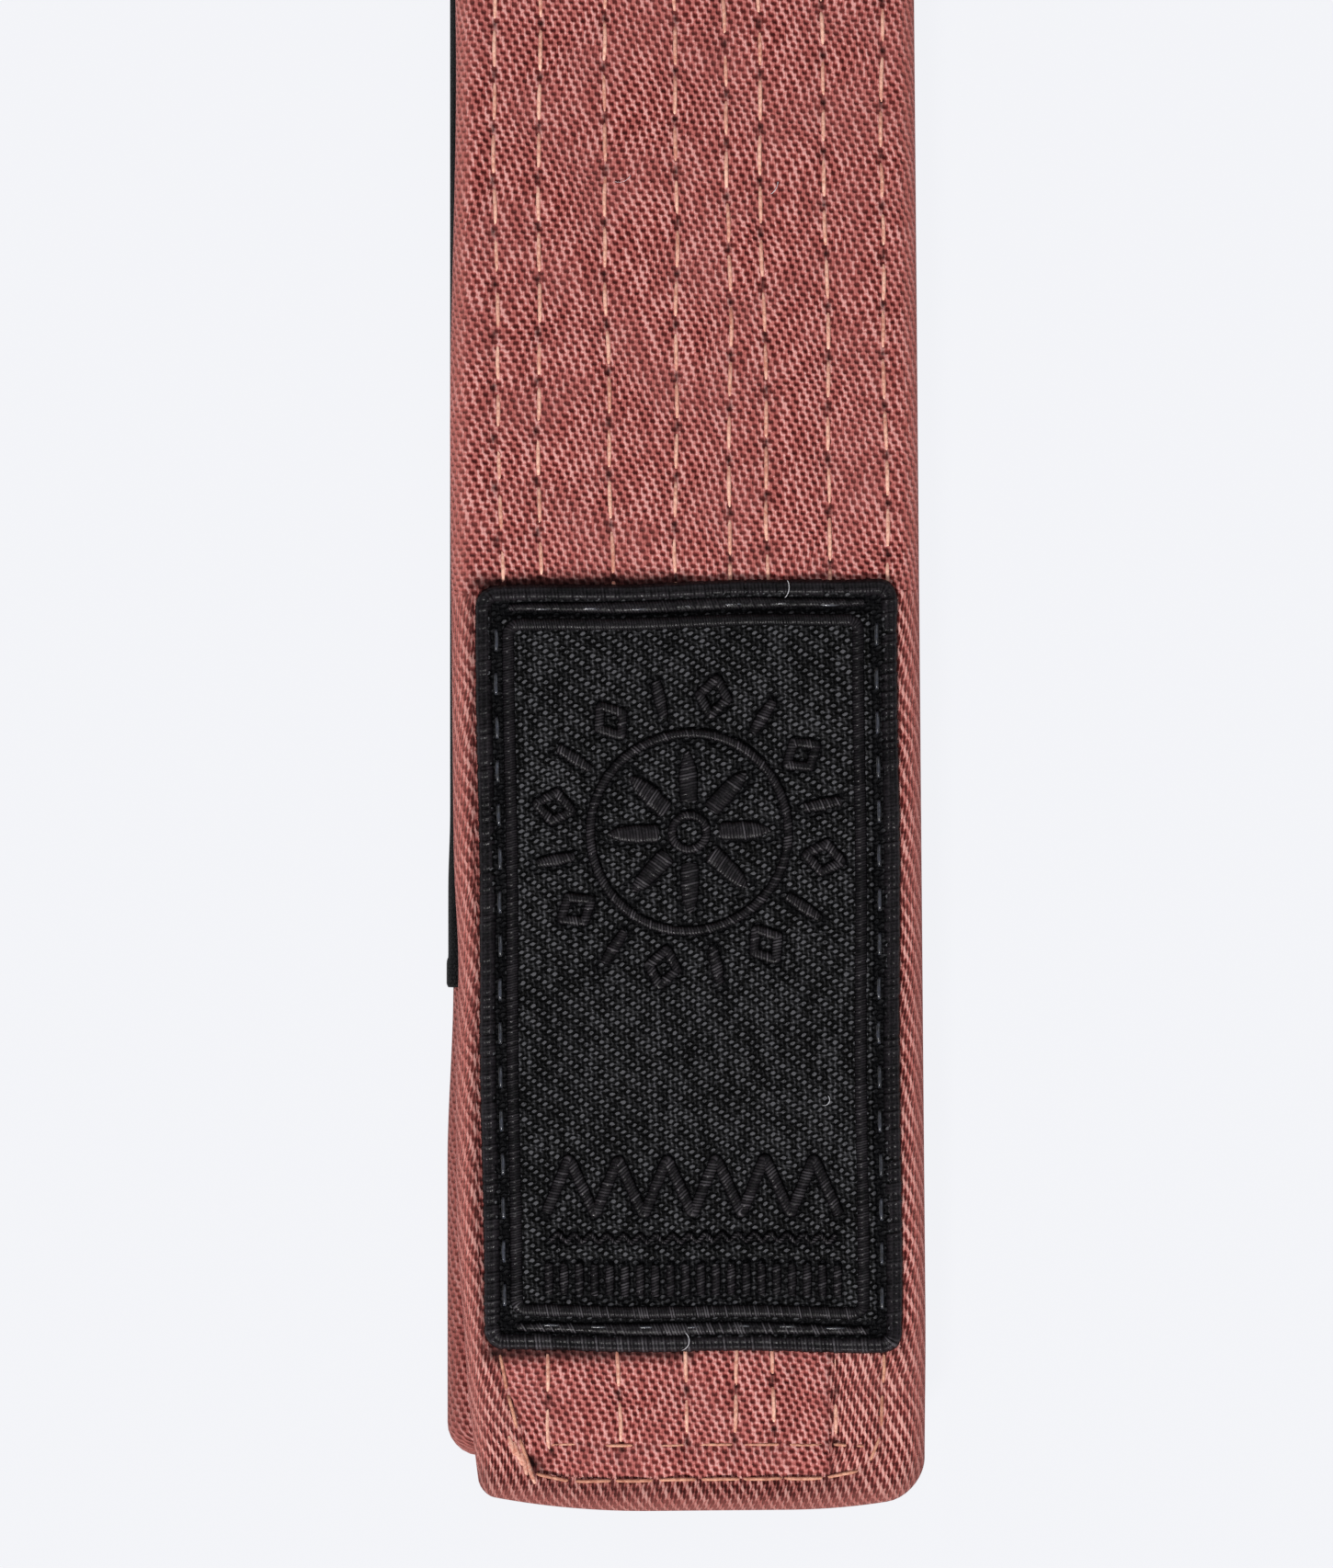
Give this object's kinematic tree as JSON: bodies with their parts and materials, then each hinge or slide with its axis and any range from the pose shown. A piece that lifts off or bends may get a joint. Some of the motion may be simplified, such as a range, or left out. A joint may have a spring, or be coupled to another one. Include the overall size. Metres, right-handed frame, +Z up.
{
  "type": "martial arts belt",
  "caption": "Quilted cotton martial arts belt rolled up for storage, with both tails lying out flat; the front tail has a sewn patch and the rear tail a sleeve for rank marks.",
  "frame": {"origin": "on the table, under the middle of the box around the rolled belt and its tails", "axes": "+Z up; +Y from the tails' tips towards the roll, along the belt; +X across the belt, along the roll's axis"},
  "size_m": [0.0426, 0.2894, 0.1262],
  "materials": {
    "belt_cloth": "matte",
    "interlining": "matte",
    "rank_bar_cloth": "matte",
    "patch_cloth": "matte",
    "black_thread": "satin",
    "peach_thread": "matte"
  },
  "bodies": {
    "roll": {"coil_cover": "belt_cloth", "coil_interlining_face": "interlining", "coil_interlining_back": "interlining", "front_lead_cover": "belt_cloth", "front_lead_interlining_face": "interlining", "front_lead_interlining_back": "interlining", "rear_lead_cover": "belt_cloth", "rear_lead_interlining_face": "interlining", "rear_lead_interlining_back": "interlining"},
    "tails": {"front_run_cover": "belt_cloth", "front_run_interlining_face": "interlining", "front_run_interlining_back": "interlining", "rear_run_cover": "belt_cloth", "rear_run_interlining_face": "interlining", "rear_run_interlining_back": "interlining", "rank_bar": "rank_bar_cloth", "rank_bar_stitch_tip_end": "black_thread", "rank_bar_stitch_roll_end": "black_thread", "quilt_thread_1": "peach_thread", "quilt_thread_2": "peach_thread", "quilt_thread_3": "peach_thread", "quilt_thread_4": "peach_thread", "quilt_thread_5": "peach_thread", "quilt_thread_6": "peach_thread", "quilt_thread_7": "peach_thread", "quilt_thread_8": "peach_thread"},
    "front_end": {"front_end_cover": "belt_cloth", "front_end_interlining_face": "interlining", "front_end_interlining_back": "interlining", "front_hem_stitch": "peach_thread", "front_hem_seam": "peach_thread", "front_backtack": "peach_thread", "patch_backing": "patch_cloth", "patch_ground": "patch_cloth", "patch_border": "black_thread", "patch_frame_stitch": "black_thread", "patch_sewing_thread": "black_thread", "emblem_ring": "black_thread", "emblem_rosette": "black_thread", "emblem_zigzag": "black_thread", "emblem_line_upper": "black_thread", "emblem_line_lower": "black_thread"},
    "rear_end": {"rear_end_cover": "belt_cloth", "rear_end_interlining_face": "interlining", "rear_end_interlining_back": "interlining", "rear_hem_stitch": "peach_thread"}
  },
  "joints": [
    {"name": "tails_lift", "type": "hinge", "parent": "roll", "child": "tails", "pos_m": [0.00058, 0.01436, 0.01], "axis": [-1, -0.0087, 0], "range_deg": [0, 35]},
    {"name": "front_end_lift", "type": "hinge", "parent": "tails", "child": "front_end", "pos_m": [0.00114, -0.05064, 0.01], "axis": [-1, -0.0087, 0], "range_deg": [0, 75]},
    {"name": "rear_end_curl", "type": "hinge", "parent": "tails", "child": "rear_end", "pos_m": [0, -0.10665, 0.0007], "axis": [1, 0, 0], "range_deg": [0, 60]}
  ]
}
